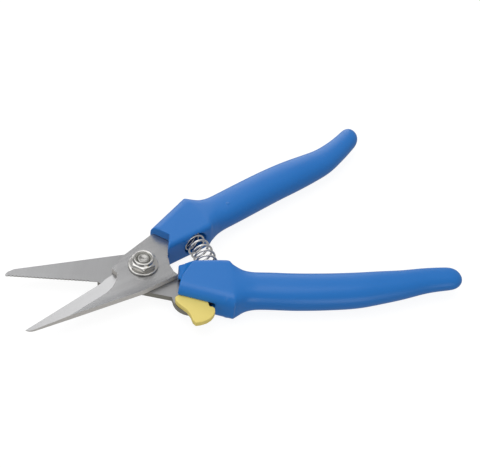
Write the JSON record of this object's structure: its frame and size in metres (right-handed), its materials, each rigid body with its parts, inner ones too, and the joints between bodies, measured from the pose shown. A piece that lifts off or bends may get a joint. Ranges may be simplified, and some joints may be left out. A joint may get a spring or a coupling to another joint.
{
  "type": "thread snips",
  "caption": "Spring-opened hand snips with moulded handles, a plate blade on each side of one nut-and-bolt pivot, and a thumb catch that holds them shut.",
  "frame": {"origin": "middle of the bounding box's underside, on the surface the snips lie on, with the blades open as at rest", "axes": "+X from the blade tips towards the handle ends, +Y towards the upper handle, +Z out of the plane the blades swing in, on the side of the nut"},
  "size_m": [0.1904, 0.1114, 0.0147],
  "materials": {
    "blade_steel": "satin ground steel",
    "bolt_steel": "bright plated",
    "spring_steel": "bright drawn wire",
    "blue_handle": "semi-gloss moulded",
    "yellow_catch": "matte moulded",
    "nylon_ring": "matte"
  },
  "bodies": {
    "lower_half": {"lower_blade": "blade_steel", "lower_handle": "blue_handle", "pivot_bolt": "bolt_steel", "pivot_washer": "bolt_steel", "pivot_nut": "bolt_steel", "nut_lock_ring": "nylon_ring", "catch_pin": "bolt_steel", "handle_spring": "spring_steel"},
    "upper_half": {"upper_blade": "blade_steel", "upper_handle": "blue_handle"},
    "catch": {"catch_lever": "yellow_catch"}
  },
  "joints": [
    {"name": "pivot_hinge", "type": "hinge", "parent": "lower_half", "child": "upper_half", "pos_m": [-0.03889, -0.00583, 0.0083], "axis": [0, 0, -1], "range_deg": [0, 32], "stiffness_Nm_per_rad": 1.4, "springref_deg": -8.59, "deforming": ["handle_spring"]},
    {"name": "catch_hinge", "type": "hinge", "parent": "lower_half", "child": "catch", "pos_m": [-0.02083, -0.02266, 0.0083], "axis": [0, 0, -1], "range_deg": [0, 36.5]}
  ]
}
